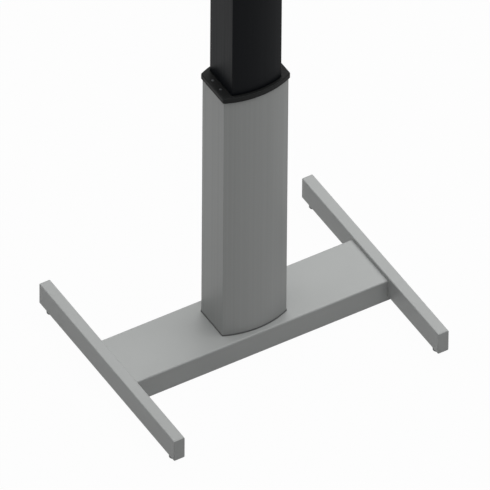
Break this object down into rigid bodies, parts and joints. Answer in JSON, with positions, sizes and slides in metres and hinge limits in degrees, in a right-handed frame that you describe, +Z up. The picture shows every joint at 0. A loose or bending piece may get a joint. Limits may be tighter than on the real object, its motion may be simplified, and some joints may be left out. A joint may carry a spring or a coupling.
{
  "type": "electric table base",
  "caption": "Height-adjustable table base: an H-shaped foot, one electric telescopic column and a frame for the table top.",
  "frame": {"origin": "on the floor under the column's axis, in the middle of the foot", "axes": "+Z up along the column, +X along the cross beam to the right, front towards -Y"},
  "size_m": [0.63, 0.525, 1.189],
  "materials": {
    "grey_paint": "fine grey powder coat",
    "grey_aluminium": "grey coated extrusion",
    "black_aluminium": "black anodised extrusion",
    "black_paint": "black powder coat",
    "steel": "zinc plated",
    "bearing_steel": "ground",
    "brass": "plain",
    "die_cast": "as cast",
    "grey_plastic": "moulded",
    "dark_plastic": "moulded",
    "black_plastic": "fine moulded grain",
    "guide_plastic": "slippery natural plastic",
    "board": "coated circuit board"
  },
  "bodies": {
    "base": {"foot_tube_right": "grey_paint", "foot_tube_left": "grey_paint", "cross_beam": "grey_paint", "beam_end_bracket_right": "grey_paint", "beam_end_bracket_left": "grey_paint", "foot_end_cap_front_right": "grey_plastic", "foot_end_cap_back_right": "grey_plastic", "foot_end_cap_front_left": "grey_plastic", "foot_end_cap_back_left": "grey_plastic", "beam_bolts": "steel", "foot_weld_nuts": "steel", "column_stiffener_plate": "steel", "column_base_plate": "dark_plastic", "column_base_screws": "steel", "outer_column": "grey_aluminium", "collar": "black_plastic", "collar_screws": "steel", "upper_guide_bush": "guide_plastic", "nut_tube": "steel", "nut_tube_screws": "steel", "spindle_nut": "guide_plastic"},
    "lift": {"inner_column": "black_aluminium", "lower_guide_bush": "guide_plastic", "head_plate": "black_paint", "head_plate_screws": "steel", "gear_case": "die_cast", "gearbox": "steel", "drive_motor": "steel", "motor_screws": "steel", "bearing_outer_ring": "bearing_steel", "top_channel": "black_paint", "top_frame_bolts": "steel", "top_arm_right": "black_paint", "top_arm_left": "black_paint", "arm_bolts": "steel", "arm_nuts": "steel", "control_box_case": "black_plastic", "control_box_cover": "black_plastic", "control_board": "board", "mains_inlet": "black_plastic", "handset_case": "black_plastic", "handset_cover": "black_plastic", "handset_screws": "steel"},
    "spindle_set": {"spindle": "steel", "spindle_gear": "steel", "bearing_inner_ring": "bearing_steel", "bearing_balls": "bearing_steel"},
    "pinion_set": {"drive_pinion": "brass", "gearbox_output_shaft": "steel"},
    "up_button_body": {"up_button": "grey_plastic"},
    "down_button_body": {"down_button": "grey_plastic"},
    "glide_front_right": {"glide_pad_front_right": "dark_plastic", "glide_stud_front_right": "steel"},
    "glide_back_right": {"glide_pad_back_right": "dark_plastic", "glide_stud_back_right": "steel"},
    "glide_front_left": {"glide_pad_front_left": "dark_plastic", "glide_stud_front_left": "steel"},
    "glide_back_left": {"glide_pad_back_left": "dark_plastic", "glide_stud_back_left": "steel"}
  },
  "joints": [
    {"name": "lift", "type": "slide", "parent": "base", "child": "lift", "axis": [0, 0, 1], "range_m": [-0.45, 0.05]},
    {"name": "spindle_turn", "type": "hinge", "parent": "lift", "child": "spindle_set", "pos_m": [0.018, 0, 1.115], "axis": [0, 0, 1], "continuous": true},
    {"name": "pinion_turn", "type": "hinge", "parent": "lift", "child": "pinion_set", "pos_m": [-0.022, 0, 1.135], "axis": [0, 0, 1], "continuous": true},
    {"name": "up_button_press", "type": "slide", "parent": "lift", "child": "up_button_body", "axis": [0, 1, 0], "range_m": [0, 0.0012], "stiffness_N_per_m": 1500},
    {"name": "down_button_press", "type": "slide", "parent": "lift", "child": "down_button_body", "axis": [0, 1, 0], "range_m": [0, 0.0012], "stiffness_N_per_m": 1500},
    {"name": "glide_front_right_adjust", "type": "slide", "parent": "base", "child": "glide_front_right", "axis": [0, 0, -1], "range_m": [0, 0.01]},
    {"name": "glide_back_right_adjust", "type": "slide", "parent": "base", "child": "glide_back_right", "axis": [0, 0, -1], "range_m": [0, 0.01]},
    {"name": "glide_front_left_adjust", "type": "slide", "parent": "base", "child": "glide_front_left", "axis": [0, 0, -1], "range_m": [0, 0.01]},
    {"name": "glide_back_left_adjust", "type": "slide", "parent": "base", "child": "glide_back_left", "axis": [0, 0, -1], "range_m": [0, 0.01]}
  ],
  "couplings": [
    {"joint": "spindle_turn", "follows": "lift", "rad_per_m": 628.32},
    {"joint": "pinion_turn", "follows": "lift", "rad_per_m": -1047.2}
  ]
}
